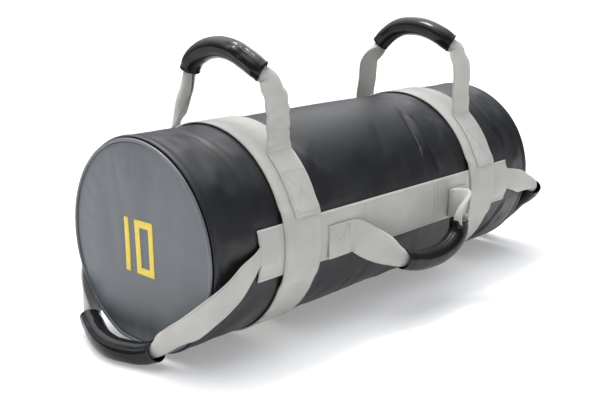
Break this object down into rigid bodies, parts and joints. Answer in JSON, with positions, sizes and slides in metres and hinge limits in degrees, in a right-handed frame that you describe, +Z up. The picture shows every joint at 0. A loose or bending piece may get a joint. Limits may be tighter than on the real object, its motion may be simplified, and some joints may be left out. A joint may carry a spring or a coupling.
{
  "type": "sandbag trainer",
  "caption": "Round training sandbag with webbing bands, padded top, side and end handles, and a weight number on its end panels.",
  "frame": {"origin": "on the floor, under the middle of the bag", "axes": "+X along the bag from the pictured (near) end to the far end, +Y from the pictured front side to the back side, +Z up"},
  "size_m": [0.7352, 0.3458, 0.3537],
  "materials": {
    "black_leatherette": "fine grain, satin",
    "grey_leatherette": "fine grain, satin",
    "grey_webbing": "woven, matt",
    "grip_leatherette": "padded, glossy",
    "yellow_vinyl": "printed, matt",
    "grey_foam": "closed-cell foam",
    "textile_wadding": "shredded textile",
    "pouch_cloth": "plain woven cloth",
    "sand": "dry sand"
  },
  "bodies": {
    "bag": {"shell_tube": "black_leatherette", "near_end_panel": "grey_leatherette", "far_end_panel": "grey_leatherette", "near_piping": "grey_leatherette", "far_piping": "grey_leatherette", "near_digit_one": "yellow_vinyl", "near_digit_zero": "yellow_vinyl", "far_digit_one": "yellow_vinyl", "far_digit_zero": "yellow_vinyl", "padding_sleeve": "grey_foam", "near_padding_disc": "grey_foam", "far_padding_disc": "grey_foam", "wadding_fill": "textile_wadding", "near_sand_pouch": "pouch_cloth", "far_sand_pouch": "pouch_cloth", "near_sand_fill": "sand", "far_sand_fill": "sand", "near_band": "grey_webbing", "far_band": "grey_webbing", "front_strap": "grey_webbing", "back_strap": "grey_webbing", "near_top_front_tail": "grey_webbing", "near_top_back_tail": "grey_webbing", "far_top_front_tail": "grey_webbing", "far_top_back_tail": "grey_webbing", "front_side_near_tail": "grey_webbing", "front_side_far_tail": "grey_webbing", "back_side_near_tail": "grey_webbing", "back_side_far_tail": "grey_webbing", "near_end_front_tail": "grey_webbing", "near_end_back_tail": "grey_webbing", "far_end_front_tail": "grey_webbing", "far_end_back_tail": "grey_webbing"},
    "near_top_handle": {"near_top_webbing": "grey_webbing", "near_top_grip_sleeve": "grip_leatherette", "near_top_grip_core": "grey_foam"},
    "far_top_handle": {"far_top_webbing": "grey_webbing", "far_top_grip_sleeve": "grip_leatherette", "far_top_grip_core": "grey_foam"},
    "front_side_handle": {"front_side_webbing": "grey_webbing", "front_side_grip_sleeve": "grip_leatherette", "front_side_grip_core": "grey_foam"},
    "back_side_handle": {"back_side_webbing": "grey_webbing", "back_side_grip_sleeve": "grip_leatherette", "back_side_grip_core": "grey_foam"},
    "near_end_handle": {"near_end_webbing": "grey_webbing", "near_end_grip_sleeve": "grip_leatherette", "near_end_grip_core": "grey_foam"},
    "far_end_handle": {"far_end_webbing": "grey_webbing", "far_end_grip_sleeve": "grip_leatherette", "far_end_grip_core": "grey_foam"}
  },
  "joints": [
    {"name": "near_top_swing", "type": "hinge", "parent": "bag", "child": "near_top_handle", "pos_m": [-0.1844, 0, 0.2169], "axis": [0, 1, 0], "range_deg": [-65, 65], "deforming": ["near_top_webbing"]},
    {"name": "far_top_swing", "type": "hinge", "parent": "bag", "child": "far_top_handle", "pos_m": [0.1844, 0, 0.2169], "axis": [0, 1, 0], "range_deg": [-65, 65], "deforming": ["far_top_webbing"]},
    {"name": "front_side_swing", "type": "hinge", "parent": "bag", "child": "front_side_handle", "pos_m": [0, -0.12835, 0.11431], "axis": [-1, 0, 0], "range_deg": [0, 110], "deforming": ["front_side_webbing"]},
    {"name": "back_side_swing", "type": "hinge", "parent": "bag", "child": "back_side_handle", "pos_m": [0, 0.12835, 0.11431], "axis": [1, 0, 0], "range_deg": [0, 110], "deforming": ["back_side_webbing"]},
    {"name": "near_end_swing", "type": "hinge", "parent": "bag", "child": "near_end_handle", "pos_m": [-0.2523, 0, 0.1243], "axis": [0, 1, 0], "range_deg": [0, 95], "deforming": ["near_end_webbing"]},
    {"name": "far_end_swing", "type": "hinge", "parent": "bag", "child": "far_end_handle", "pos_m": [0.2523, 0, 0.1243], "axis": [0, -1, 0], "range_deg": [0, 40], "deforming": ["far_end_webbing"]}
  ]
}
